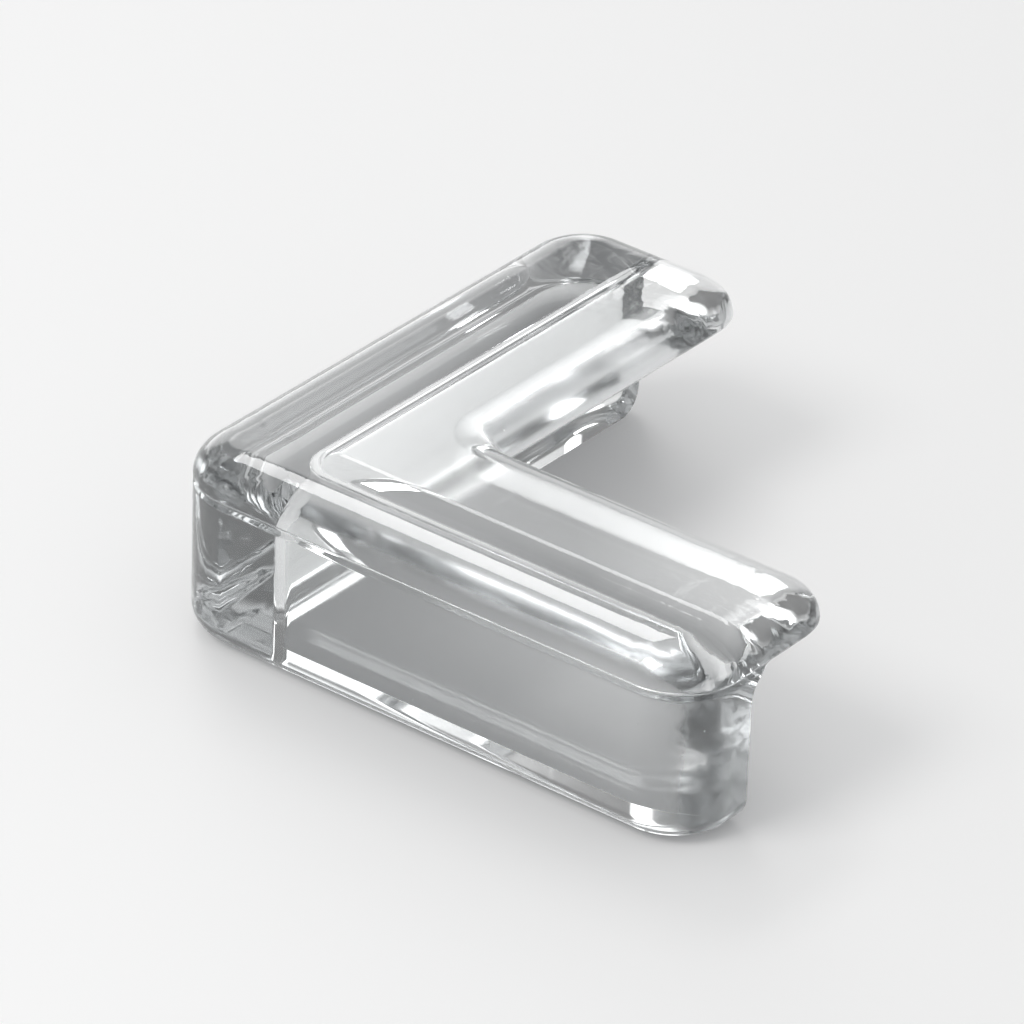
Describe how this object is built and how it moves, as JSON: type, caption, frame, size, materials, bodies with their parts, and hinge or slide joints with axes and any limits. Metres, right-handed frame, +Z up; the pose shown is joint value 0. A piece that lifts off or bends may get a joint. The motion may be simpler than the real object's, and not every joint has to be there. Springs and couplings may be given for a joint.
{
  "type": "furniture corner protector",
  "caption": "Clear soft-plastic corner guard: an L-shaped top with rounded rims above a thick skirt that wraps the corner of a table or shelf board.",
  "frame": {"origin": "centre of the overall box, at the foot of the skirt", "axes": "+Z up, out of the top; +X along one arm, from the corner towards its end; +Y along the other arm"},
  "size_m": [0.042, 0.042, 0.0133],
  "materials": {
    "clear_plastic": "clear, glossy"
  },
  "bodies": {
    "root": {"corner_guard": "clear_plastic"}
  },
  "joints": []
}
